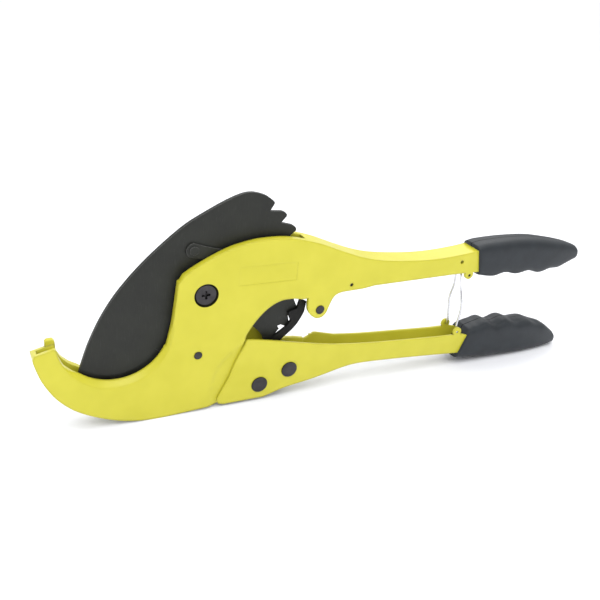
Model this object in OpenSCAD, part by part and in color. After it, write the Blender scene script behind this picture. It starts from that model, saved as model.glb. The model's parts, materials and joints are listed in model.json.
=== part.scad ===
/* [Frame] */
// Thickness of the head, hook and arm across the tool
body_w = 20; // [19:0.5:23]
// Width of the gap that the blade runs in
slot_w = 9; // [8.8:0.1:9.6]
// Radius of the jaw that the pipe sits in
jaw_r = 39.2; // [38:0.2:40]
// Width of the bevel at the bottom of the jaw
jaw_bevel = 4; // [3:0.5:5]
// Wall of the channel-shaped arm
arm_wall = 2.4; // [2:0.1:2.8]
// Depth of the blank label panels on the cheeks
panel_d = 0.15; // [0.1:0.05:0.5]

/* [Blade] */
// Thickness of the blade
blade_t = 3; // [2.6:0.1:3.2]
// Radius at the tips of the ratchet teeth
tooth_tip_r = 84; // [83.6:0.1:84.2]
// Angle from one ratchet tooth to the next, in degrees
tooth_pitch = 10.2; // [10:0.1:10.2]
// Number of ratchet teeth
teeth = 9; // [9:1:9]
// Radius of the countersunk screw head at the blade pivot
screw_head_r = 8.6; // [8:0.1:9]

/* [Lower handle] */
// Wall of the pressed lower handle
handle_wall = 2.1; // [1.8:0.1:2.2]
// Radius of the two large rivet heads
rivet_head_r = 6.8; // [6:0.1:7.2]
// Radius of the two large rivet shanks
rivet_r = 4; // [3.6:0.1:4]

/* [Grips and bail] */
// Width of the grips across the tool
grip_w = 25.6; // [25:0.2:28]
// Radius of the latch wire
wire_r = 1.1; // [1:0.05:1.2]

/* [Hidden] */
$fn = 96;
half = body_w / 2;
gap = slot_w / 2;
steps = 6;
nose_len = 34;
clear = 0.05;
play = 0.2;
end_mid_x = 123.65;
floor_z = 98.9;

jaw_c = [-65.3, -22.4];
slot_r = 54.6;
cavity_r = 86.5;
bevel_c = jaw_c - [0.3, 2];
bevel_out_r = jaw_r + jaw_bevel - 1.6;
bevel_in_r = jaw_r - 2.2;
handle_pin = [47.1, -84];
pawl_pin = [72.5, -74.4];
stop_pin_at = [-4.9, -49.1];
stop_at_r = norm(stop_pin_at);
catch_pin = [95.1, -23.7];
anchor = [121.6, -5.2];
tether = [228.3, 3.9];
stud_at = [239, -9.6];
bail_pin = [238.1, -65];
link_pin_at = [-8.1, 33.2];
link_angle = -16.5;
link_len = 45;
shank_r = 4;
bush_r = 6;
spacer_r = 11;
small_pin_r = 1.5;
stud_r = 1.3;
tether_r = 1.6;
stop_r = 3.2;
catch_r = 3;
lobe_t = 3;
screw_r = screw_head_r - 0.6;
recess_r = 37.4;
recess_out_r = 45.7;
handle_in = half - handle_wall;
recess_y = handle_in - play;
side_y = blade_t / 2 + 0.3;
paint = [0.886, 0.859, 0.333];
dark_steel = [0.26, 0.27, 0.25];
rivet_grey = [0.3, 0.29, 0.32];
bright = [0.8, 0.8, 0.82];
grip_grey = [0.26, 0.28, 0.31];

// ---- curves and placing -------------------------------------------------

function blend_point(a, b, c, d, t) =
    0.5 * (2 * b + (c - a) * t + (2 * a - 5 * b + 4 * c - d) * t * t
    + (3 * b - a - 3 * c + d) * t * t * t);

// a smooth curve through every point of p, as short straight steps
function curve(p, n = steps) = let (m = len(p)) concat(
    [for (i = [0:m - 2]) for (j = [0:n - 1])
        blend_point(p[max(i - 1, 0)], p[i], p[i + 1], p[min(i + 2, m - 1)], j / n)],
    [p[m - 1]]);

function polar(r, a) = [r * cos(a), r * sin(a)];

function arc(c, r, a0, a1, n = 24) = [for (i = [0:n]) c + polar(r, a0 + (a1 - a0) * i / n)];

function lower_by(p, d) = [for (q = p) q - [0, d]];

function backwards(p) = [for (i = [len(p) - 1:-1:0]) p[i]];

// everything is drawn about the blade pivot, then set on the ground
module on_ground() translate([-end_mid_x, 0, floor_z]) children();

// a side-view outline as a plate from y0 to y1 across the tool
module plate(y0, y1) rotate([90, 0, 0]) translate([0, 0, -y1]) linear_extrude(y1 - y0) children();

// a round pin, or a cone when r1 is given, from y0 to y1 across the tool
module across(at, r, y0, y1, r1 = undef) translate([at[0], y0, at[1]]) rotate([-90, 0, 0])
    cylinder(h = y1 - y0, r1 = r, r2 = r1 == undef ? r : r1);

module tube(at, r, bore, y0, y1) difference() {
    across(at, r, y0, y1);
    across(at, bore, y0 - 1, y1 + 1);
}

// ---- frame --------------------------------------------------------------

hook_back = curve([[-106.2, -31.6], [-107, -28.8], [-109.4, -27.6], [-114.6, -28.8], [-120.2, -30.6],
    [-122.3, -34.4], [-121.6, -38.6], [-120.2, -43.6],
    [-117.7, -51], [-112.9, -60.7], [-106.8, -69.6], [-98.7, -77.7], [-90.6, -83.4], [-80.5, -88.8],
    [-68.4, -93.7], [-58.4, -96.5], [-46, -98.5], [-33.3, -98.9], [-18.3, -98.3], [0, -97.2]], 4);
jaw_edge = concat(arc(jaw_c, jaw_r, 335, 230, 32),
    curve([[-96.2, -48.8], [-101.8, -43], [-104.7, -36.8], [-106.2, -31.6]], 3));
head_front = curve([[-21.2, 12], [-22.2, 2], [-23.4, -9], [-25, -21], [-28.6, -38]]);
arm_top = curve([[-16.8, 17.4], [-6, 24], [11.1, 32.4], [24.6, 36.8], [42, 39.6], [64, 39], [88, 33.2],
    [110, 24.6], [130, 17.4], [150, 12.9], [180, 9.8], [205, 9.3], [230, 11], [245, 13]], 5);
arm_tang = [[262, 8], [334, 2], [334, -5], [262, -6.6], [250, -7.2]];
arm_under = [[225, -6.8], [143.2, -8.2], [133.2, -9.7], [118, -10.3]];
window_top = curve([[90, -11.4], [80.2, -12.6], [70.2, -11.1], [60, -11.7], [50.3, -16.7],
    [42.4, -24.3], [36.4, -32.4], [33, -39], [32.7, -43.5]], 5);
boss_edge = curve([[32.7, -43.5], [40, -46.5], [52.8, -50.5], [63, -58], [66, -67], [66.2, -81],
    [61.5, -90.5], [53.6, -94.6], [45, -95.4]], 4);

// side view of the frame without the lobe
module frame_outline() {
    polygon(concat(backwards(jaw_edge), backwards(head_front), [[-19.4, 13.3]], arm_top, arm_tang, arm_under,
        window_top, boss_edge, [[14, -95.8]], backwards(hook_back)));
    translate([238.5, -8.8]) circle(r = 4.2);
}

// the lobe under the arm that carries the pin of the holding pawl
module lobe_outline() polygon(concat(curve([[118, -10], [110, -11.4], [105.8, -15], [103.4, -20.6],
    [101, -27], [97.6, -30.4], [93, -31.1], [88.2, -28.4], [85.2, -24.6], [84, -20.6], [83.8, -13]], 4),
    [[85, -8], [118, -8]]));

// the two ends of the hook are cut off by one slanted plane
module tip_cut() translate([-120.6, -half, -31.1]) rotate([-15.6, -15.1, 0])
    translate([-9, -4, 0]) cube([32, 32, 14]);

// nub on the far end of the hook
module tip_nub() plate(5.8, half) polygon([[-112.4, -38], [-112, -30], [-110.6, -28.7], [-106.8, -28.5],
    [-105.3, -29.9], [-104.8, -38]]);

// inner corner of the far cheek, seen through the window behind the blade
module far_corner_outline() polygon(curve([[33.5, -47], [34, -40], [36, -33.4], [40, -31.6],
    [48, -37.6], [56, -45.6], [61, -52], [58, -57], [45, -54], [33.5, -47]], 3));

// thin far wall of the boss, between the cheeks of the lower handle
module boss_wall_outline() polygon([[54, -58], [60, -64], [66, -62], [72, -63.5], [80, -66], [91.6, -66],
    [90.6, -56.2], [82.8, -54.4], [74.4, -53.3], [66, -54.6], [58, -53.6]]);

// seat for the front top corner of a cheek of the lower handle
module seat_outline() polygon([[31.9, -43], [31.7, -46.6], [24.7, -60.6], [22, -66], [46, -80],
    [66.6, -64], [66.6, -40.4], [37, -40.4], [33.4, -42]]);

// the cavity of the arm, open below, under a wall of thickness wall
module arm_cavity(wall, x0, x1) intersection() {
    polygon(concat(lower_by(arm_top, wall), [[245, -30], [-20, -30]]));
    translate([x0, -30]) square([x1 - x0, 70]);
}

module frame_cavities() {
    across(jaw_c, slot_r, -gap, gap);
    across([0, 0], cavity_r, -gap, gap);
    plate(-gap, gap) arm_cavity(3, 70, 112);
    plate(-half + arm_wall, half - arm_wall) arm_cavity(arm_wall, 108, 243);
    plate(-gap, gap) polygon([[30, -40], [75, -40], [75, -101], [38, -101], [30, -80]]);
    // pocket in the near cheek for the return spring
    translate([link_pin_at[0], 0, link_pin_at[1]]) rotate([0, -link_angle, 0])
        translate([36, -half + 1.8, -3.6]) cube([96, half - 1.8, 7.2]);
}

module frame_recesses() for (side = [-1, 1]) {
    // sunk seats that the cheeks of the lower handle turn in
    if (side < 0) across(handle_pin, recess_out_r, -half - 0.6, -recess_y, recess_r);
    if (side > 0) across(handle_pin, recess_r, recess_y, half + 0.6, recess_out_r);
    if (side < 0) plate(-half - 1, -recess_y - clear) seat_outline();
    if (side > 0) plate(recess_y + clear, half + 1) seat_outline();
    // bevel round the near edge of the jaw, wider at the bottom
    if (side < 0) across(bevel_c, bevel_out_r, -half - 0.5, -gap + 0.1, bevel_in_r);
    // blank label panel
    translate([24.8, side < 0 ? -half - 1 : half - panel_d, 4.8]) cube([47.2, 1 + panel_d, 14.8]);
}

module frame_holes() {
    across([0, 0], shank_r + 0.1, -half - 1, half + 1);
    across([0, 0], screw_head_r + 1.5, -half - 1, -half + 5.4, screw_head_r - 4.9);
    across([0, 0], 7, half - 3.2, half + 1);
    across(stop_pin_at, stop_r, -half - 1, half + 1);
    across(handle_pin, rivet_r, -half - 1, half + 1);
    across(catch_pin, catch_r, -half - 1, -half + lobe_t + 1);
    across(anchor, small_pin_r, -half - 1, half + 1);
    across(tether, tether_r, -half - 1, half + 1);
    across(stud_at, stud_r, -half - 1, half + 1);
}

module frame_body() color(paint) on_ground() difference() {
    union() {
        difference() {
            plate(-half, half) frame_outline();
            tip_cut();
        }
        tip_nub();
        plate(-half, -half + lobe_t) lobe_outline();
        plate(gap, half) far_corner_outline();
        plate(gap, recess_y) boss_wall_outline();
    }
    frame_cavities();
    frame_recesses();
    frame_holes();
}

// ---- blade pivot --------------------------------------------------------

module blade_screw() color(rivet_grey) on_ground() difference() {
    union() {
        across([0, 0], screw_r, -half + 1, -half + 1 + screw_r - shank_r, shank_r);
        across([0, 0], shank_r, -half + 2, half - 0.4);
    }
    // cross recess
    for (a = [-3, 87])
        translate([0, -half - 1, 0]) rotate([0, a, 0]) translate([-3.2, 0, -0.8]) cube([6.4, 4, 1.6]);
}

module blade_nut() color(rivet_grey) on_ground() difference() {
    across([0, 0], 6.9, half - 3.1, half - 0.2);
    across([0, 0], shank_r, half - 4, half + 1);
    // slot for a driver
    translate([-8, half - 1.4, -0.8]) cube([16, 3, 1.6]);
}

module blade_spacers() color(bright) on_ground() {
    tube([0, 0], spacer_r, shank_r + 0.1, -gap, -side_y);
    tube([0, 0], spacer_r, shank_r + 0.1, side_y, gap);
}

// ---- blade --------------------------------------------------------------

blade_back = curve([[-92.2, -57.1], [-90.4, -51.5], [-83.5, -31.4], [-73.3, -10.2], [-60.2, 9],
    [-41.5, 29.3], [-17.8, 49.7], [-1, 60], [18.8, 69.8], [32.3, 73.6], [43.8, 71.3], [50.4, 67.4]]);
blade_edge = concat(curve([[26, -22], [10, -20.5], [-8, -22], [-17, -33], [-29, -50]]),
    arc(jaw_c, jaw_r + 5.2, 312, 235, 20));
first_tip = 50.8;

// one ratchet tooth: sloping back, rounded tip, steep face
function tooth(a) = [polar(82.9, a + 3.6), polar(tooth_tip_r, a + 1.8), polar(tooth_tip_r, a + 0.4),
    polar(83, a - 0.4), polar(76.8, a - 1.1)];

// the last tooth, next to the deep notch that ends the row
last_tooth = [polar(81.4, -26.6), polar(82.4, -28), polar(81, -29.2), polar(75.6, -29.4), [63, -38],
    [64.6, -40.6], [61, -45.2]];

module blade_outline() difference() {
    polygon(concat(blade_back, [polar(tooth_tip_r, first_tip + 0.4), polar(83, first_tip - 0.4),
        polar(76.8, first_tip - 1.1)],
        [for (k = [1:teeth - 2]) each tooth(first_tip - k * tooth_pitch)], last_tooth,
        curve([[56.4, -53.5], [52.4, -49.6], [50.9, -45.6], [46.6, -39.8], [41, -34.6], [26, -22]], 4),
        blade_edge));
    // path of the stop pin, ending in the seat that meets it when the blade is fully open
    translate(polar(stop_at_r, -34.5)) circle(r = stop_r + 0.5);
    polygon(concat(arc([0, 0], stop_at_r + stop_r + 0.5, -34.5, -54, 6),
        arc([0, 0], stop_at_r - stop_r - 0.5, -54, -34.5, 6)));
}

// what is ground off one side of the blade along its cutting edge
module ground_edge() intersection() {
    difference() {
        across(jaw_c, 60, 0.3, 1.8);
        across(jaw_c, jaw_r + 5, 0.3, 1.8, jaw_r - 5);
    }
    plate(0, blade_t) polygon([jaw_c, jaw_c + polar(90, 215), jaw_c + polar(90, 270),
        jaw_c + polar(90, 325)]);
}

module blade() color(dark_steel) on_ground() difference() {
    plate(-blade_t / 2, blade_t / 2) blade_outline();
    across([0, 0], bush_r, -half, half);
    across(link_pin_at, 2.4, -half, half);
    ground_edge();
    mirror([0, 1, 0]) ground_edge();
}

module blade_bush() color(bright) on_ground()
    tube([0, 0], bush_r, shank_r + clear, -side_y + 0.1, side_y - 0.1);

module link_rivet() color(rivet_grey) on_ground() {
    across(link_pin_at, 2.4, -3.4, blade_t / 2);
    across(link_pin_at, 3.4, -4.1, -3.4);
}

// tapered link from the blade to the return spring
module return_link() color(dark_steel) on_ground()
    translate([link_pin_at[0], 0, link_pin_at[1]]) rotate([0, -link_angle, 0]) difference() {
        plate(-3.3, -1.7) polygon(concat(arc([0, 0], 5.8, 110, 250), [[10, -5], [26, -5.3], [38, -4.4]],
            arc([link_len, 0], 3, -80, 80, 12), [[38, 4.4], [26, 5.3], [10, 5]]));
        across([0, 0], 2.4 + clear, -5, 0);
        across([link_len, 0], 1.2, -5, 0);
    }

// the coil of the return spring with its end hooks
module return_spring() color(bright) on_ground()
    translate([link_pin_at[0], 0, link_pin_at[1]]) rotate([0, -link_angle, 0])
    translate([0, -5.2, 0]) {
        difference() {
            translate([54, 0, 0]) rotate([0, 90, 0]) cylinder(h = 66, r = 2.7);
            translate([53, 0, 0]) rotate([0, 90, 0]) cylinder(h = 68, r = 1.8);
        }
        translate([48.6, 2.2, 0]) rotate([0, 90, 0]) cylinder(h = 6.4, r = 0.45);
        translate([119, 0, 2.1]) rotate([0, 90, 0]) cylinder(h = 16, r = 0.45);
    }

// ---- pins of the frame --------------------------------------------------

module stop_pin() color(rivet_grey) on_ground() across(stop_pin_at, stop_r, -half - 0.3, half + 0.3);

module handle_rivet() color(rivet_grey) on_ground() {
    across(handle_pin, rivet_r, -half, half);
    across(handle_pin, rivet_head_r, -half - 0.9, -half - clear);
    across(handle_pin, rivet_head_r, half + clear, half + 0.9);
    across(handle_pin, rivet_r, -half - 0.1, half + 0.1);
}

module anchor_pin() color(rivet_grey) on_ground() across(anchor, small_pin_r, -half + 0.6, half - 0.6);

module bail_stud() color(rivet_grey) on_ground() across(stud_at, stud_r, -half + 0.3, half - 0.3);

module handle_spring() color(bright) on_ground() {
    tube(handle_pin, 6, 4.6, -3.6, 3.6);
    translate([handle_pin[0] - 13, 2.4, handle_pin[1] - 5.3]) rotate([0, 90, 0]) cylinder(h = 13, r = 0.6);
}

// ---- holding pawl -------------------------------------------------------

module catch_pin_stud() color(rivet_grey) on_ground() {
    across(catch_pin, catch_r, -half, 5.4);
    across(catch_pin, 3.7, -half - 0.5, -half);
}

module catch_clip() color(bright) on_ground() tube(catch_pin, 5, catch_r, 4.2, 5);

module catch_spring() color(bright) on_ground() tube(catch_pin, 4.6, 3.5, 1.8, 4);

pawl_nose = polar(tooth_tip_r + 0.5, 2);

module holding_pawl() color(dark_steel) on_ground() difference() {
    union() {
        across(catch_pin, 5.5, -half + lobe_t + play, 1.5);
        plate(-1.4, 1.4) polygon([catch_pin + [-5.4, -1], pawl_nose + [-0.2, 0.4], pawl_nose + [1.6, 5],
            pawl_nose + [5.2, 5.4], catch_pin + [5.2, 2]]);
    }
    across(catch_pin, catch_r + clear, -half, half);
}

// ---- lower handle -------------------------------------------------------

handle_front = [[33.7, -43.2], [32.6, -46.5], [25.5, -60.6], [21.2, -72.7], [11.6, -91.8],
    [13, -95.6], [17.6, -96.9]];
handle_under = curve([[51.6, -96.6], [58.6, -94.5], [71.5, -91], [91.5, -88], [106.5, -85],
    [121.4, -81.6], [136.4, -79.9], [161.4, -80.8], [201.4, -83.6], [241.5, -86.9]], 3);
handle_tang = [[262, -87.4], [334, -92], [334, -80], [262, -73], [249.2, -69.8], [243.2, -67.9]];
handle_top = curve([[231.2, -67.4], [216.2, -66.9], [181.1, -64.6], [146.1, -62], [121, -59.2],
    [108, -57.4], [84.9, -52.6], [60.8, -47], [37.7, -42.3], [33.7, -43.2]], 3);

floor_line = concat([for (p = handle_under) if (p[0] > 68) p], [[262, -87.4], [334, -92]]);

module handle_outline() {
    polygon(concat(handle_front, handle_under, handle_tang, handle_top));
    translate([238.1, -65]) circle(r = 4.3);
}

module lower_handle() color(paint) on_ground() difference() {
    union() {
        plate(-half, -handle_in) handle_outline();
        plate(handle_in, half) handle_outline();
        // floor of the channel
        plate(-half + 0.5, half - 0.5) polygon(concat(floor_line,
            backwards([for (p = floor_line) p + [0, handle_wall]])));
        // raised part of the far cheek's top edge
        plate(handle_in, half) polygon([[92, -62], [97.6, -56.8], [101.6, -54.4], [103.4, -54.5],
            [124, -59.9], [123, -63]]);
    }
    across(handle_pin, rivet_r + clear, -half - 1, half + 1);
    across(pawl_pin, rivet_r, -half - 1, half + 1);
    across(bail_pin, wire_r + clear, -half - 1, half + 1);
    // relief in the top edge of the far cheek
    plate(handle_in - 1, half + 1) polygon([[66, -40], [90, -46], [97.6, -50], [97.6, -56.8],
        [93.2, -58.8], [79.4, -56.4], [73, -58.6], [66, -59.5]]);
}

module pawl_rivet() color(rivet_grey) on_ground() {
    across(pawl_pin, rivet_r, -half, half);
    across(pawl_pin, rivet_head_r, -half - 0.9, -half);
    across(pawl_pin, rivet_head_r, half, half + 0.9);
}

module pawl_spacers() color(bright) on_ground() {
    tube(pawl_pin, 5.6, rivet_r, -handle_in, -gap);
    tube(pawl_pin, 5.6, rivet_r, gap, handle_in);
}

module pawl_spring() color(bright) on_ground() tube(pawl_pin, 6, 4.8, 1.4, gap - 0.3);

// curved feed pawl beside the blade, with a nose across the line of the teeth
module feed_pawl() color(dark_steel) on_ground() difference() {
    union() {
        across(pawl_pin, 7.6, -gap + 0.2, 1);
        plate(-gap + 0.2, -side_y) polygon(concat(
            curve([[65.4, -74], [60, -66], [56.8, -57], [56.6, -50], [60.2, -44.8]], 3),
            [[69.2, -38.6], [71.4, -35.6], [73.1, -33.4], [70.2, -26.4], [72, -24.6], [77.6, -23.2],
            [79.7, -15.2]],
            curve([[85.3, -17.9], [84.7, -22.4], [83.9, -27.2], [80.2, -34.4], [77, -38.8], [72.8, -43],
            [65.8, -49], [63.6, -54], [67, -60], [73.6, -65.6], [80, -73]], 3)));
        plate(-side_y - 0.1, 1.2) polygon(concat(arc([0, 0], 84.6, -16, -22, 6),
            arc([0, 0], 87.4, -22, -16, 6)));
    }
    across(pawl_pin, rivet_r + clear, -half, half);
}

// ---- grips --------------------------------------------------------------

upper_grip_top = curve([[246.4, 14.9], [255, 18], [282.4, 18.8], [307.8, 17.4], [331.3, 13.6],
    [349.5, 9.6], [363, 4.4], [369, -0.4], [369.6, -4.2], [364.2, -7.2]], 4);
upper_grip_under = curve([[364.2, -7.2], [350.6, -12.2], [342.3, -15], [331.3, -15], [319.7, -17.3],
    [305.8, -14.2], [292.3, -15.2], [277.4, -12.6], [262.9, -14.6], [252, -11.8]], 4);
lower_grip_top = curve([[250.6, -64.4], [258.1, -62], [268.5, -60.2], [281, -62.6], [293, -60.8],
    [305.1, -63.6], [315, -64], [332.8, -68.6], [346, -74.4], [359.9, -84], [367, -91]], 4);
lower_grip_under = curve([[367, -91], [366, -94.6], [361.6, -96.2], [353.7, -98], [339.7, -98.9],
    [320.1, -98.6], [292.2, -97.6], [264.3, -95.4], [244, -92.4]], 4);

// plan view of a grip: straight sides and an oval nose
module grip_plan(x0, x1) polygon(concat([[x0, grip_w / 2], [x0, -grip_w / 2]],
    [for (a = [-90:10:90]) [x1 - nose_len + nose_len * cos(a), grip_w / 2 * sin(a)]]));

// a grip from its side outline, its rounded plan and the tang it is moulded on
module grip(mid_z, x0, x1) difference() {
    intersection() {
        plate(-grip_w / 2, grip_w / 2) children(0);
        translate([0, 0, mid_z - 60]) linear_extrude(120) grip_plan(x0, x1);
    }
    plate(-half - clear, half + clear) children(1);
}

module upper_grip() color(grip_grey) on_ground() grip(0, 240, 371) {
    polygon(concat(upper_grip_top, upper_grip_under, [[250.4, -10]]));
    polygon([[240, 13.4], [246.2, 13.4], [262, 8.1], [334.1, 2.1], [334.1, -5.1], [262, -6.7],
        [250.4, -7.3], [240, -7.3]]);
}

module lower_grip() color(grip_grey) on_ground() grip(-80, 240, 369) {
    polygon(concat(lower_grip_top, lower_grip_under, [[243.4, -88.6]]));
    polygon([[240, -87.2], [262, -87.5], [334.1, -92.1], [334.1, -79.9], [262, -72.9], [249.2, -69.6],
        [242, -66]]);
}

// ---- latch --------------------------------------------------------------

// a straight length of round wire between two points, a little long at both ends
module wire(a, b) let (d = b - a) translate(a) rotate([0, acos(d[2] / norm(d)), atan2(d[1], d[0])])
    translate([0, 0, -0.3]) cylinder(h = norm(d) + 0.6, r = wire_r, $fn = 8);

// points along one leg of the latch wire, as [x, y, z]
bail_leg = [[238.1, 6.6, -65], [238.1, 6.6, -58], [238, 9, -46], [237.4, 9.2, -38], [236.6, 5, -24],
    [235.4, 3.6, -15], [235.2, 2.7, -9.6]];

module bail_side() {
    for (i = [0:5]) wire(bail_leg[i], bail_leg[i + 1]);
    across(bail_pin, wire_r, 5.9, half - 0.1);
}

module wire_bail() color(bright) on_ground() {
    bail_side();
    mirror([0, 1, 0]) bail_side();
    across([235.2, -9.6], wire_r, -3.2, 3.2);
}

frame_body();
blade_screw();
blade_nut();
blade_spacers();
stop_pin();
handle_rivet();
anchor_pin();
bail_stud();
return_spring();
handle_spring();
catch_pin_stud();
catch_clip();
catch_spring();
upper_grip();
blade();
blade_bush();
link_rivet();
return_link();
lower_handle();
pawl_rivet();
pawl_spacers();
pawl_spring();
lower_grip();
feed_pawl();
holding_pawl();
wire_bail();
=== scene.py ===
"""Looks of the plastic-pipe cutter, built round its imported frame.

Blender works in metres. Outlines here are in mm from the blade pivot, with x along the tool,
y across it (the screw side is -y) and z up; at() turns them into places in the row frame.
"""
import json
import math

import bpy
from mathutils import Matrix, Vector


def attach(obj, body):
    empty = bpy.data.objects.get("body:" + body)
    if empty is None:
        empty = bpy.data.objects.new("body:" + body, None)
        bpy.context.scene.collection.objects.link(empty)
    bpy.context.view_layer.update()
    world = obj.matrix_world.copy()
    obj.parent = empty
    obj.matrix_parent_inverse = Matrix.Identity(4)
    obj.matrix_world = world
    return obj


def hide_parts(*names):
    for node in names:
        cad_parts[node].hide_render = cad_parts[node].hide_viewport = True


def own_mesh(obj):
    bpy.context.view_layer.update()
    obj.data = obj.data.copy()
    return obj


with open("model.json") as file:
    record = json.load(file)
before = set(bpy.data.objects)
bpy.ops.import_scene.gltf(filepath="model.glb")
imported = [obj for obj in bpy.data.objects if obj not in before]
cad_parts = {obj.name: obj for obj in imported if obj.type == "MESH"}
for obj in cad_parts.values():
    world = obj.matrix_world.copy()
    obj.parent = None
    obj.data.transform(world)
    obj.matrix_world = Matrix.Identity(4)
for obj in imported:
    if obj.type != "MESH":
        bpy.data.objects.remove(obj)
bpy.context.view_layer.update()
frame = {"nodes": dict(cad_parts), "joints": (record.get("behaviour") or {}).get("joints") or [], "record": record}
nodes = frame["nodes"]

MM = 0.001
JOINTS = {joint["name"]: Vector(joint["pos_m"]) for joint in frame["joints"]}
PIVOT = JOINTS["blade_pivot"]


def at(x, y, z):
    """A point given in mm from the blade pivot, in the row frame in metres."""
    return Vector((x, y, z)) * MM + PIVOT


def on_axis(joint, y):
    """The point of a joint's axis at y, in mm from the blade pivot."""
    place = (JOINTS[joint] - PIVOT) / MM
    return Vector((place.x, y, place.z))


# ---- materials ----------------------------------------------------------

BEVEL_SAMPLES = 6
LOW_STOP, HIGH_STOP = 0.3, 0.7  # where most colour ramps over noise start and end
COUNTERSINK_R = 0.0093
RIDGE_SHADE_Y = 0.0007  # where the painted shade lies on the grips, on the far side of the parting ridge
RIDGE_SHADE_HALF = 0.0004


class Shader:
    """A short way to write a material's node tree. A source is the output socket of a node."""

    def __init__(self, name):
        self.material = bpy.data.materials.new(name)
        self.material.use_nodes = True
        self.tree = self.material.node_tree
        self.tree.nodes.clear()
        out = self.add("ShaderNodeOutputMaterial")
        self.skin = self.add("ShaderNodeBsdfPrincipled")
        self.feed(out, "Surface", self.skin.outputs["BSDF"])
        self.coords = self.add("ShaderNodeTexCoord").outputs["Object"]

    def add(self, kind, **settings):
        node = self.tree.nodes.new(kind)
        for key, value in settings.items():
            setattr(node, key, value)
        return node

    def feed(self, node, socket, value):
        """Sets an input to a plain value, or links a source to it."""
        if isinstance(value, bpy.types.NodeSocket):
            self.tree.links.new(value, node.inputs[socket])
        else:
            node.inputs[socket].default_value = value

    def set(self, **values):
        """Feeds the inputs of the surface; an underscore stands for a space."""
        for key, value in values.items():
            self.feed(self.skin, key.replace("_", " "), value)

    # sources

    def noise(self, scale, detail=3.0, rough=0.55, stretch=None):
        node = self.add("ShaderNodeTexNoise")
        node.inputs["Scale"].default_value = scale
        node.inputs["Detail"].default_value = detail
        node.inputs["Roughness"].default_value = rough
        place = self.coords
        if stretch:
            mapping = self.add("ShaderNodeMapping")
            mapping.inputs["Scale"].default_value = stretch
            self.feed(mapping, "Vector", place)
            place = mapping.outputs["Vector"]
        self.feed(node, "Vector", place)
        return node.outputs["Fac"]

    def ramp(self, source, *stops):
        """A colour ramp through (place, colour) stops."""
        node = self.add("ShaderNodeValToRGB")
        for element, (place, colour) in zip(node.color_ramp.elements, stops):
            element.position = place
            element.color = (*colour, 1.0)
        self.feed(node, "Fac", source)
        return node.outputs["Color"]

    def tint(self, source, low, high):
        """Colours that drift from low to high with a noise."""
        return self.ramp(source, (LOW_STOP, low), (HIGH_STOP, high))

    def grey(self, source, low, high, start=LOW_STOP, end=HIGH_STOP):
        return self.ramp(source, (start, (low,) * 3), (end, (high,) * 3))

    def maths(self, operation, a, b=0.0, c=0.0):
        node = self.add("ShaderNodeMath", operation=operation)
        for i, value in enumerate((a, b, c)):
            self.feed(node, i, value)
        return node.outputs["Value"]

    def mix(self, factor, a, b):
        """Mixes two colours, each a plain colour or a source."""
        node = self.add("ShaderNodeMix", data_type="RGBA")
        self.feed(node, "Factor", factor)
        for name, value in (("A", a), ("B", b)):
            socket = [s for s in node.inputs if s.name == name and s.type == "RGBA"][0]
            if isinstance(value, tuple):
                socket.default_value = (*value, 1.0)
            else:
                self.tree.links.new(value, socket)
        return [s for s in node.outputs if s.type == "RGBA"][0]

    def geometry(self, name):
        return self.add("ShaderNodeNewGeometry").outputs[name]

    def part(self, source, axis):
        """One of the X, Y and Z parts of a vector."""
        node = self.add("ShaderNodeSeparateXYZ")
        self.feed(node, "Vector", source)
        return node.outputs[axis]

    def rounded(self, radius):
        """The surface's normal, blended over the edges."""
        node = self.add("ShaderNodeBevel", samples=BEVEL_SAMPLES)
        node.inputs["Radius"].default_value = radius
        return node.outputs["Normal"]

    # masks

    def edges(self, radius, flat=0.99, edge=0.9):
        """1 along the edges of a piece, 0 on its faces."""
        dot = self.add("ShaderNodeVectorMath", operation="DOT_PRODUCT")
        self.feed(dot, 0, self.rounded(radius))
        self.feed(dot, 1, self.geometry("True Normal"))
        return self.grey(dot.outputs["Value"], 1.0, 0.0, edge, flat)

    def faces(self, start, end):
        """1 on faces square to the y axis, 0 on their sides."""
        across = self.maths("ABSOLUTE", self.part(self.geometry("Normal"), "Y"))
        return self.grey(across, 0.0, 1.0, start, end)

    def near_axis(self, centre, radius, blur):
        """1 within radius of an axis along y, on the near side only."""
        position = self.geometry("Position")
        offset = self.add("ShaderNodeVectorMath", operation="SUBTRACT")
        self.feed(offset, 0, position)
        self.feed(offset, 1, centre)
        flat = self.add("ShaderNodeVectorMath", operation="MULTIPLY")
        self.feed(flat, 0, offset.outputs["Vector"])
        self.feed(flat, 1, (1.0, 0.0, 1.0))
        distance = self.add("ShaderNodeVectorMath", operation="LENGTH")
        self.feed(distance, 0, flat.outputs["Vector"])
        inside = self.add("ShaderNodeMapRange")
        self.feed(inside, "Value", distance.outputs["Value"])
        self.feed(inside, "From Min", radius + blur)
        self.feed(inside, "From Max", radius - blur)
        near_side = self.maths("LESS_THAN", self.part(position, "Y"))
        return self.maths("MULTIPLY", inside.outputs["Result"], near_side)

    def bumps(self, *layers, round_edges=0.0):
        """layers: (source, strength, distance in metres); chained bump nodes."""
        normal = self.rounded(round_edges) if round_edges else None
        for source, strength, distance in layers:
            bump = self.add("ShaderNodeBump")
            self.feed(bump, "Strength", strength)
            self.feed(bump, "Distance", distance)
            self.feed(bump, "Height", source)
            if normal is not None:
                self.feed(bump, "Normal", normal)
            normal = bump.outputs["Normal"]
        self.set(Normal=normal)


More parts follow.
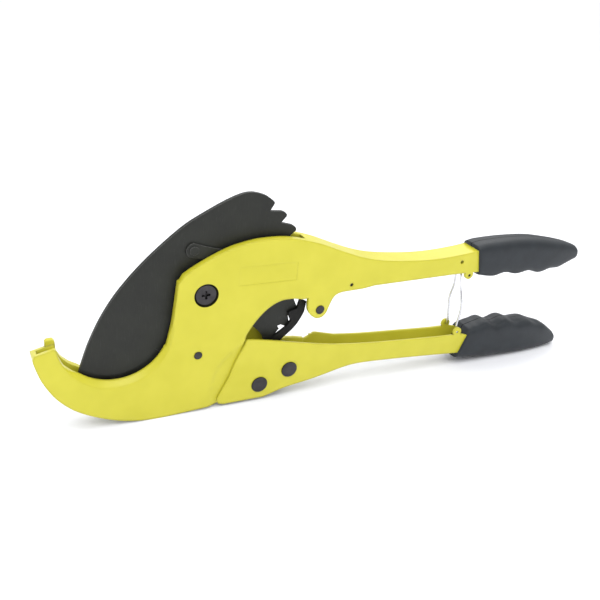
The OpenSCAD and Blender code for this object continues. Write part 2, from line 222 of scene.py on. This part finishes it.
def paint():
    """Gloss powder coat with a slight orange peel, with painted shade darkening the corners."""
    s = Shader("paint")
    broad = s.noise(45.0, 2.0)
    peel = s.noise(620.0, 2.0, 0.4)
    fine = s.noise(2600.0, 2.0, 0.5)
    # painted shade: an occlusion mask darkens the yellow to olive in corners and crevices
    corners = s.add("ShaderNodeAmbientOcclusion", samples=6, only_local=True)
    s.feed(corners, "Distance", 0.006)
    out_of_painted_shade = s.grey(corners.outputs["AO"], 0.0, 1.0, 0.15, 0.75)
    yellow = s.tint(broad, (0.6, 0.555, 0.027), (0.645, 0.595, 0.036))
    coat_with_painted_shade = s.mix(out_of_painted_shade, (0.3, 0.275, 0.012), yellow)
    # painted shade: the countersink round the pivot screw is painted near black, with its shine and coat taken
    # away, for the shadowed gap round the head
    countersink_shade = s.near_axis(at(0, 0, 0), COUNTERSINK_R, 0.00015)
    whole = s.mix(countersink_shade, coat_with_painted_shade, (0.008, 0.008, 0.003))
    # light bounced off the paint is toned down, as by a white-balanced studio picture
    bounced = s.add("ShaderNodeLightPath").outputs["Is Diffuse Ray"]
    toned = s.mix(s.maths("MULTIPLY", bounced, 0.75), whole, (0.5, 0.5, 0.5))
    s.set(Base_Color=toned, Roughness=s.grey(peel, 0.34, 0.46), Coat_Roughness=0.28)
    s.set(Specular_IOR_Level=s.grey(countersink_shade, 0.45, 0.03, 0.0, 1.0))
    s.set(Coat_Weight=s.grey(countersink_shade, 0.18, 0.0, 0.0, 1.0))
    s.bumps((broad, 0.25, 0.0003), (peel, 0.16, 0.00006), (fine, 0.1, 0.00002), round_edges=0.0026)
    return s.material


def blade_steel():
    """Dark phosphated plate with faint mottling and scuffs, its edges painted lighter as a highlight."""
    s = Shader("blade_steel")
    cloud = s.noise(34.0, 5.0, 0.6)
    grain = s.noise(1500.0, 3.0, 0.65)
    lines = s.noise(90.0, 4.0, 0.6, (14.0, 1.0, 1.4))
    dark = s.ramp(cloud, (0.32, (0.011, 0.012, 0.0095)), (0.68, (0.0225, 0.024, 0.0195)))
    scuffed = s.mix(s.grey(lines, 0.0, 0.16, 0.55, 0.8), dark, (0.09, 0.09, 0.085))
    # painted highlight: a lighter grey along every edge of the blade
    edge_highlight = s.mix(s.edges(0.0005), scuffed, (0.2, 0.2, 0.195))
    s.set(Base_Color=edge_highlight, Roughness=s.grey(cloud, 0.4, 0.6), Metallic=0.0, Specular_IOR_Level=0.34)
    s.bumps((grain, 0.4, 0.00003), (lines, 0.08, 0.00003), (cloud, 0.12, 0.0002), round_edges=0.0005)
    return s.material


def black_steel():
    """Hardened and blackened pawls and small pins."""
    s = Shader("black_steel")
    cloud = s.noise(140.0, 3.0)
    grain = s.noise(1900.0, 3.0, 0.6)
    black = s.tint(cloud, (0.007, 0.007, 0.007), (0.013, 0.013, 0.012))
    s.set(Base_Color=black, Roughness=s.grey(grain, 0.4, 0.58), Specular_IOR_Level=0.16)
    s.bumps((grain, 0.3, 0.00003), round_edges=0.0004)
    return s.material


def fastener():
    """Blackened heads, with painted shade darkening the rim and the walls of recesses."""
    s = Shader("fastener")
    cloud = s.noise(160.0, 3.0)
    grain = s.noise(2400.0, 3.0, 0.6)
    steel = s.tint(cloud, (0.036, 0.034, 0.036), (0.06, 0.056, 0.059))
    # painted shade: near black wherever the surface turns away from the y axis, round the rim and down the cross
    # recess
    rim_shade = s.mix(s.faces(0.86, 0.995), (0.006, 0.006, 0.006), steel)
    s.set(Base_Color=rim_shade, Roughness=s.grey(grain, 0.3, 0.48), Metallic=0.4, Specular_IOR_Level=0.28)
    s.bumps((grain, 0.3, 0.00002), (cloud, 0.2, 0.00005), round_edges=0.0006)
    return s.material


def bright_steel():
    """Drawn steel wire and plated small parts."""
    s = Shader("bright_steel")
    streaks = s.noise(700.0, 3.0, 0.6, (1.0, 1.0, 0.12))
    grain = s.noise(3000.0, 2.0)
    silver = s.tint(streaks, (0.6, 0.6, 0.62), (0.76, 0.76, 0.78))
    s.set(Base_Color=silver, Roughness=s.grey(streaks, 0.16, 0.3), Metallic=1.0)
    s.bumps((grain, 0.12, 0.00001), (streaks, 0.1, 0.00002))
    return s.material


def brass():
    """Sintered bronze of the bush."""
    s = Shader("brass_bush")
    grain = s.noise(1800.0, 3.0, 0.6)
    bronze = s.tint(grain, (0.42, 0.26, 0.09), (0.58, 0.38, 0.15))
    s.set(Base_Color=bronze, Roughness=s.grey(grain, 0.28, 0.45), Metallic=1.0)
    s.bumps((grain, 0.25, 0.00002))
    return s.material


def grip_rubber():
    """Satin moulded grip, fine grain."""
    s = Shader("grip")
    cloud = s.noise(70.0, 3.0)
    grain = s.noise(1900.0, 2.0, 0.5)
    pores = s.noise(5200.0, 2.0, 0.5)
    rubber = s.tint(cloud, (0.0145, 0.018, 0.0215), (0.021, 0.026, 0.031))
    # painted shade: a fine dark line along the far side of the parting ridge, with its shine taken away
    ridge_shade = s.maths("COMPARE", s.part(s.geometry("Position"), "Y"), RIDGE_SHADE_Y, RIDGE_SHADE_HALF)
    s.set(Base_Color=s.mix(ridge_shade, rubber, (0.003, 0.003, 0.003)), Roughness=s.grey(grain, 0.4, 0.55))
    s.set(Specular_IOR_Level=s.grey(ridge_shade, 0.36, 0.1, 0.0, 1.0))
    s.bumps((grain, 0.25, 0.00005), (pores, 0.2, 0.00002))
    return s.material


LOOKS = {
    "paint": paint(),
    "blade_steel": blade_steel(),
    "black_steel": black_steel(),
    "fastener": fastener(),
    "bright_steel": bright_steel(),
    "brass_bush": brass(),
    "grip": grip_rubber(),
}


def dress(obj, look):
    obj.data.materials.clear()
    obj.data.materials.append(LOOKS[look])


# ---- CAD pieces: softened edges and their finish ------------------------

WELD_GAP = 0.00001
FLAT_WITHIN = math.radians(0.6)
SHARP_FROM = math.radians(28.0)
SMALL_EDGE = 0.0002
EDGE = {
    "frame_body": 0.0009,
    "lower_handle": 0.0007,
    "blade": 0.0003,
    "return_link": 0.0003,
    "handle_rivet": 0.0008,
    "pawl_rivet": 0.0008,
    "stop_pin": 0.0004,
}
SLOTS = {row["node"]: row["material_slot"] for row in frame["record"]["subparts"]}
SPRINGS = {"return_spring", "handle_spring", "catch_spring", "pawl_spring"}
MADE_HERE = SPRINGS | {"upper_grip", "lower_grip", "wire_bail"}


def soften(obj, width):
    """Merges flat facets, rounds the sharp edges and evens the shading."""
    weld = obj.modifiers.new("weld", "WELD")
    weld.merge_threshold = WELD_GAP
    flat = obj.modifiers.new("flat", "DECIMATE")
    flat.decimate_type = "DISSOLVE"
    flat.angle_limit = FLAT_WITHIN
    bevel = obj.modifiers.new("bevel", "BEVEL")
    bevel.width = width
    bevel.segments = 3
    bevel.limit_method = "ANGLE"
    bevel.angle_limit = SHARP_FROM
    bevel.use_clamp_overlap = True
    bevel.miter_outer = "MITER_ARC"
    normals = obj.modifiers.new("normals", "WEIGHTED_NORMAL")
    normals.keep_sharp = True
    for polygon in obj.data.polygons:
        polygon.use_smooth = True


for name, obj in nodes.items():
    dress(obj, SLOTS[name])
    if name not in MADE_HERE:
        soften(obj, EDGE.get(name, SMALL_EDGE))

# ---- building blocks of the pieces made here ----------------------------


def new_piece(name, skin, look, body, replaced):
    verts, faces = skin
    mesh = bpy.data.meshes.new(name)
    mesh.from_pydata([at(*v) for v in verts], [], faces)
    mesh.validate()
    for polygon in mesh.polygons:
        polygon.use_smooth = True
    obj = bpy.data.objects.new(name, mesh)
    bpy.context.scene.collection.objects.link(obj)
    dress(obj, look)
    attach(obj, body)
    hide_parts(replaced)
    return obj


def rings(sections):
    """Joins rings of equal length into one skin, closed at both ends."""
    count = len(sections[0])
    verts = [v for ring in sections for v in ring]
    faces = []
    for i in range(len(sections) - 1):
        for j in range(count):
            k = (j + 1) % count
            faces.append((i * count + j, i * count + k, (i + 1) * count + k, (i + 1) * count + j))
    faces.append(tuple(reversed(range(count))))
    last = (len(sections) - 1) * count
    faces.append(tuple(last + j for j in range(count)))
    return verts, faces


def curve(points, x):
    """Height at x of a smooth curve through (x, z) points, which run from left to right."""
    if x <= points[0][0]:
        return points[0][1]
    for i in range(len(points) - 1):
        (x0, z0), (x1, z1) = points[i], points[i + 1]
        if x <= x1:
            before = points[max(i - 1, 0)]
            after = points[min(i + 2, len(points) - 1)]
            t = (x - x0) / (x1 - x0)
            slope0 = (z1 - before[1]) / (x1 - before[0]) * (x1 - x0)
            slope1 = (after[1] - z0) / (after[0] - x0) * (x1 - x0)
            share0 = 2 * t**3 - 3 * t**2 + 1
            bend0, bend1 = t**3 - 2 * t**2 + t, t**3 - t**2
            return share0 * z0 + bend0 * slope0 + (1 - share0) * z1 + bend1 * slope1
    return points[-1][1]


def smooth_path(points, count):
    """Points along a smooth curve through the given ones, count to each stretch."""
    points = [Vector(p) for p in points]
    out = []
    for i in range(len(points) - 1):
        a, b = points[max(i - 1, 0)], points[i]
        c, d = points[i + 1], points[min(i + 2, len(points) - 1)]
        for k in range(count):
            t = k / count
            even = 2 * b + (2 * a - 5 * b + 4 * c - d) * t * t
            odd = (c - a) * t + (3 * b - a - 3 * c + d) * t**3
            out.append(0.5 * (even + odd))
    return out + [points[-1]]


def sweep(path, radius, around):
    """The skin of a round wire along a path."""
    path = [Vector(p) for p in path]
    sections = []
    side = None
    for i, p in enumerate(path):
        ahead = path[min(i + 1, len(path) - 1)] - path[max(i - 1, 0)]
        ahead.normalize()
        if side is None:
            side = ahead.orthogonal().normalized()
        side = (side - ahead * side.dot(ahead)).normalized()
        other = ahead.cross(side)
        turns = [2 * math.pi * j / around for j in range(around)]
        sections.append([tuple(p + (side * math.cos(a) + other * math.sin(a)) * radius) for a in turns])
    return rings(sections)


def helix(centre, axis, start, radius, length, turns, per_turn=14):
    """Points of a helix about axis; start is the direction it leaves from."""
    axis, start = Vector(axis).normalized(), Vector(start).normalized()
    other = axis.cross(start)
    count = int(turns * per_turn)
    out = []
    for i in range(count + 1):
        a = 2 * math.pi * i / per_turn
        outward = start * math.cos(a) + other * math.sin(a)
        out.append(Vector(centre) + axis * (length * i / count) + outward * radius)
    return out


# ---- grips --------------------------------------------------------------

GRIP_HALF_W = 12.7
GRIP_AROUND, GRIP_ALONG = 64, 120
FINGER_PITCH = 27.0
FIRST_FINGER = 22  # middle of the first finger ridge, from the front edge
GROOVE_STARTS = 8
RIDGE_H = 0.45
RIDGE_HALF_W = 0.55
NOSE_TAPER = 62  # length over which a grip narrows towards its nose
NOSE_LEN = 7.0


def clamp(value):
    return min(1.0, max(0.0, value))


def grip(name, body, top, under, front, end, lean, fingers_on_top, nose_z, groove_depth):
    """A moulded grip: rounded-box sections along x, leaning front edge, finger grooves and parting ridge."""
    grooved = 1 if fingers_on_top else -1
    sections = []
    for i in range(GRIP_ALONG + 1):
        # sections lie closer together towards the nose
        x = front + (end - front) * (1 - (1 - i / GRIP_ALONG) ** 1.25)
        along, left = x - front, end - x
        z_top, z_under = curve(top, x), curve(under, x)
        middle, half_z = (z_top + z_under) / 2, (z_top - z_under) / 2
        closing = 1.0
        if left <= NOSE_LEN:
            closing = math.sqrt(max(0.0, 1 - (1 - left / NOSE_LEN) ** 2))
            middle += (nose_z - middle) * (1 - left / NOSE_LEN)
        taper = max(0.0, (x - (end - NOSE_TAPER)) / NOSE_TAPER)
        half_y = GRIP_HALF_W * min(1.0, 0.95 + 0.05 * along / 20) * (1 - 0.5 * taper**2.2)
        squareness = 5.0 - 0.8 * min(1.0, along / 40) - 1.5 * taper
        lip = 1 - 0.02 * math.exp(-((along / 0.8) ** 2))
        depth = groove_depth * closing * clamp((along - GROOVE_STARTS) / 12) * min(1.0, left / 40)
        hollow = 0.5 - 0.5 * math.cos(2 * math.pi * (along - FIRST_FINGER) / FINGER_PITCH)
        ring = []
        for j in range(GRIP_AROUND):
            angle = 2 * math.pi * (j + 0.5) / GRIP_AROUND
            c, n = math.cos(angle), math.sin(angle)
            y = half_y * closing * lip * math.copysign(abs(c) ** (2 / squareness), c)
            up = half_z * closing * lip * math.copysign(abs(n) ** (2 / squareness), n)
            # grooves are deeper beside the parting ridge than on it
            groove = depth * max(0.0, n * grooved) * hollow * (1 - math.exp(-((y / 3.5) ** 2)))
            ridge = 0.0
            if abs(n) > 0.7:
                ridge = RIDGE_H * closing * math.exp(-((y / RIDGE_HALF_W) ** 2)) * clamp((along - 3) / 4)
            z = middle + up + math.copysign(ridge, n) - groove * grooved
            shift = lean * (z - middle) * max(0.0, 1 - along / 45) ** 1.5
            ring.append((x + shift, y, z))
        sections.append(ring)
    new_piece(name + "_skin", rings(sections), "grip", body, name)


grip(
    "upper_grip",
    "frame",
    top=[(241, 15.2), (246.4, 16.2), (255, 17.8), (282.4, 18.6), (307.8, 17.3), (331.3, 13.5),
         (349.5, 9.5), (363, 5), (370, 2)],
    under=[(243, -10.4), (249, -11.6), (262.9, -14.2), (277.4, -12.6), (292.3, -14.9), (305.8, -13.8),
           (319.7, -16.6), (331.3, -14.9), (342.3, -14.9), (350.6, -12.4), (364.2, -8.2), (370, -6)],
    front=246.2,
    end=369.4,
    lean=-0.22,
    fingers_on_top=False,
    nose_z=-3.8,
    groove_depth=0.8,
)
grip(
    "lower_grip",
    "handle",
    top=[(244, -65), (250.6, -63.8), (258.1, -61.8), (268.5, -60.3), (281, -62.4), (293, -60.9),
         (305.1, -63.2), (315, -64), (332.8, -68.4), (346, -74), (359.9, -83.6), (367, -89)],
    under=[(240, -91.4), (244, -92.2), (264.3, -95.3), (292.2, -97.5), (320.1, -98.5), (339.7, -98.8),
           (353.7, -98.2), (361.6, -97), (367, -95.6)],
    front=246.2,
    end=367.2,
    lean=0.4,
    fingers_on_top=True,
    nose_z=-93.0,
    groove_depth=2.2,
)

# ---- wire and springs ---------------------------------------------------


def latch_wire():
    """The bottle-shaped wire loop: turned-in feet, legs that swell and close to a narrow top."""
    leg = [
        (238.1, 9.8, -65),
        (238.1, 7.8, -65),
        (238.1, 6.9, -64.2),
        (238.1, 6.7, -62.4),
        (238.1, 6.8, -58),
        (238.1, 7.9, -51),
        (237.8, 8.9, -44),
        (237.4, 8.9, -37.5),
        (237.0, 7.0, -30.5),
        (236.5, 4.9, -24),
        (235.9, 4.0, -18.5),
        (235.4, 3.6, -13),
        (235.2, 2.6, -10.3),
        (235.2, 0.0, -9.3),
    ]
    loop = leg + [(x, -y, z) for x, y, z in reversed(leg[:-1])]
    new_piece("latch_wire", sweep(smooth_path(loop, 6), 1.05, 12), "bright_steel", "bail", "wire_bail")


def spring(name, body, path, wire_r, around):
    return new_piece(name + "_wire", sweep(path, wire_r, around), "bright_steel", body, name)


def return_spring():
    """Pull spring along the arm, from just behind the link to its anchor pin."""
    lean = math.radians(-16.5)
    pull = Vector((math.cos(lean), 0, math.sin(lean)))
    up = Vector((-pull.z, 0, pull.x))
    link_pin = on_axis("link_pivot", -5.6)
    anchor = link_pin + pull * 134.8
    coil = helix(link_pin + pull * 54, pull, up, 1.85, 66, 52)
    front_hook = [
        link_pin + pull * 48.8 + Vector((0, 1.6, 0)),
        link_pin + pull * 51.5 + Vector((0, 1.7, 0)),
        coil[0] - pull * 0.8 + Vector((0, 1.0, 0)),
    ]
    rear_leg = [link_pin + pull * 122.5 + up * 2.0, anchor + up * 2.0]
    wound = spring("return_spring", "frame", front_hook + coil + rear_leg, 0.38, 8)
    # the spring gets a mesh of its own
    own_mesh(wound)


def pin_springs():
    """The three small springs wound round pins."""
    across, back, ahead = (0, 1, 0), (-1, 0, 0), (1, 0, 0)
    coil = helix(on_axis("handle_pivot", -3.2), across, back, 5.3, 6.4, 4.75)
    leg = [coil[-1] + Vector((-3, 0, -0.1)), coil[-1] + Vector((-12.5, 0, 0.2))]
    spring("handle_spring", "frame", coil + leg, 0.6, 10)
    coil = helix(on_axis("holding_pawl_pivot", 2.2), across, ahead, 4.0, 1.5, 2.5)
    spring("catch_spring", "frame", coil, 0.32, 8)
    coil = helix(on_axis("feed_pawl_pivot", 1.8), across, ahead, 5.3, 2.0, 2.5)
    spring("pawl_spring", "handle", coil, 0.38, 8)


latch_wire()
return_spring()
pin_springs()

# ---- stage, light and camera --------------------------------------------

FLOOR_HALF = 60.0
FLOOR_GAP = 0.00005
HANDLE_REACH = 0.323  # from the handle's hinge to just past the end of its grip
TARGET = (0, 0, 0.05)


def drop_floor(floor):
    """The floor drops out of the way when the lower handle opens below it."""
    drop = floor.driver_add("location", 2).driver
    turn = drop.variables.new()
    turn.name = "turn"
    turn.type = "TRANSFORMS"
    turn.targets[0].id = nodes["lower_handle"]
    turn.targets[0].transform_type = "ROT_Y"
    turn.targets[0].transform_space = "WORLD_SPACE"
    hinge_height = JOINTS["handle_pivot"].z
    lowest = f"{hinge_height:.4f} * (1 - cos(turn)) - {HANDLE_REACH} * sin(turn)"
    drop.expression = f"min(0, {lowest}) - {FLOOR_GAP:.5f}"


def floor():
    """A pale seamless ground."""
    mesh = bpy.data.meshes.new("floor")
    corners = [(-1, -1), (1, -1), (1, 1), (-1, 1)]
    mesh.from_pydata([(x * FLOOR_HALF, y * FLOOR_HALF, 0) for x, y in corners], [], [(0, 1, 2, 3)])
    obj = bpy.data.objects.new("floor", mesh)
    bpy.context.scene.collection.objects.link(obj)
    drop_floor(obj)
    s = Shader("floor")
    s.set(Base_Color=s.tint(s.noise(3.0, 2.0), (0.92, 0.925, 0.95), (0.94, 0.945, 0.97)))
    s.set(Roughness=0.9, Specular_IOR_Level=0.1)
    s.bumps((s.noise(400.0, 2.0), 0.02, 0.0001))
    obj.data.materials.append(s.material)


def softbox(name, place, target, size, power):
    light = bpy.data.lights.new(name, "AREA")
    light.shape = "RECTANGLE"
    light.size, light.size_y = size
    light.energy = power
    obj = bpy.data.objects.new(name, light)
    bpy.context.scene.collection.objects.link(obj)
    obj.location = place
    obj.rotation_mode = "QUATERNION"
    obj.rotation_quaternion = (Vector(target) - Vector(place)).to_track_quat("-Z", "Y")


def studio(horizon, zenith, backdrop):
    """Surrounding light that grows from the horizon to the top, behind a plain white backdrop."""
    factor, a, b, result = 0, 2, 3, 0  # sockets of a mix node set to plain numbers
    world = bpy.data.worlds.new("studio")
    world.use_nodes = True
    tree = world.node_tree
    sky = tree.nodes["Background"]
    sky.inputs["Color"].default_value = (0.985, 0.99, 1.0, 1.0)
    coords = tree.nodes.new("ShaderNodeTexCoord")
    split = tree.nodes.new("ShaderNodeSeparateXYZ")
    height = tree.nodes.new("ShaderNodeMapRange")
    height.inputs["To Min"].default_value = horizon
    height.inputs["To Max"].default_value = zenith
    path = tree.nodes.new("ShaderNodeLightPath")
    seen = tree.nodes.new("ShaderNodeMix")
    seen.inputs[b].default_value = backdrop
    tree.links.new(coords.outputs["Generated"], split.inputs["Vector"])
    tree.links.new(split.outputs["Z"], height.inputs["Value"])
    tree.links.new(height.outputs["Result"], seen.inputs[a])
    tree.links.new(path.outputs["Is Camera Ray"], seen.inputs[factor])
    tree.links.new(seen.outputs[result], sky.inputs["Strength"])
    bpy.context.scene.world = world


def make_camera():
    """The camera in front of the hook, above and to its left."""
    data = bpy.data.cameras.new("camera")
    data.lens = 45.0
    data.sensor_width = 36.0
    data.clip_start = 0.01
    data.clip_end = 20.0
    camera = bpy.data.objects.new("camera", data)
    bpy.context.scene.collection.objects.link(camera)
    camera.location = at(-168.35, -475.31, 235.62)
    camera.rotation_euler = [math.radians(a) for a in (64.60, -5.02, -25.37)]
    bpy.context.scene.camera = camera


floor()
softbox("key", (-0.35, -0.7, 1.3), TARGET, (1.0, 0.8), 6.0)
softbox("rim", (0.6, 1.0, 0.9), TARGET, (1.0, 0.7), 3.5)
softbox("top", (0.1, 0.1, 1.5), (0, 0, 0), (1.4, 1.0), 4.5)
studio(horizon=0.45, zenith=1.45, backdrop=1.04)
bpy.context.scene.view_settings.view_transform = "Standard"
make_camera()
